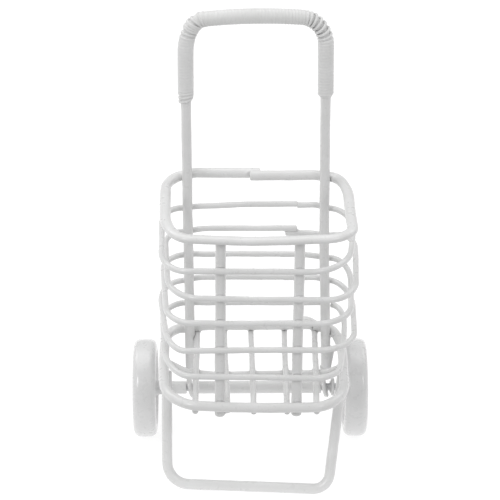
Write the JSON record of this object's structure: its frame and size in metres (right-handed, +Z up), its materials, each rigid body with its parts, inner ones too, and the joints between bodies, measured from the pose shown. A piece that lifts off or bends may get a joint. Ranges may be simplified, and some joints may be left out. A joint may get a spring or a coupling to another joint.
{
  "type": "shopping trolley",
  "caption": "Miniature shopping trolley of white-coated wire: a basket of stacked loops, a cord-wrapped handle, a leaning front stand and rolling rear wheels.",
  "frame": {"origin": "on the ground, at the middle of the trolley's outer box seen from above", "axes": "+Z up; +Y towards the back, where the handle and wheels are; +X to the right for someone facing the front of the basket"},
  "size_m": [0.056, 0.0466, 0.1097],
  "materials": {
    "coated_wire": "white powder coating, satin gloss, pooled a little at the welds",
    "handle_cord": "white cord under the same coating, satin",
    "wheel_plastic": "white moulded plastic, soft gloss",
    "bare_steel": "plain steel"
  },
  "bodies": {
    "frame": {"handle_frame": "coated_wire", "handle_wrap": "handle_cord", "top_rim": "coated_wire", "basket_ring_1": "coated_wire", "basket_ring_2": "coated_wire", "basket_ring_3": "coated_wire", "basket_ring_4": "coated_wire", "basket_ring_5": "coated_wire", "bottom_ring": "coated_wire", "front_bar_left": "coated_wire", "front_bar_right": "coated_wire", "floor_wire_1": "coated_wire", "floor_wire_2": "coated_wire", "floor_wire_3": "coated_wire", "floor_wire_4": "coated_wire", "floor_wire_5": "coated_wire", "floor_cross_wire": "coated_wire", "stand": "coated_wire", "axle_rod": "bare_steel", "axle_sleeve_centre": "coated_wire", "axle_sleeve_left": "coated_wire", "axle_sleeve_right": "coated_wire", "washer_left": "coated_wire", "washer_right": "coated_wire", "axle_cap_left": "bare_steel", "axle_cap_right": "bare_steel"},
    "wheel_left": {"wheel_left": "wheel_plastic"},
    "wheel_right": {"wheel_right": "wheel_plastic"}
  },
  "joints": [
    {"name": "wheel_left_spin", "type": "hinge", "parent": "frame", "child": "wheel_left", "pos_m": [-0.0253, 0.01145, 0.01185], "axis": [1, 0, 0], "continuous": true},
    {"name": "wheel_right_spin", "type": "hinge", "parent": "frame", "child": "wheel_right", "pos_m": [0.0253, 0.01145, 0.01185], "axis": [1, 0, 0], "continuous": true}
  ]
}
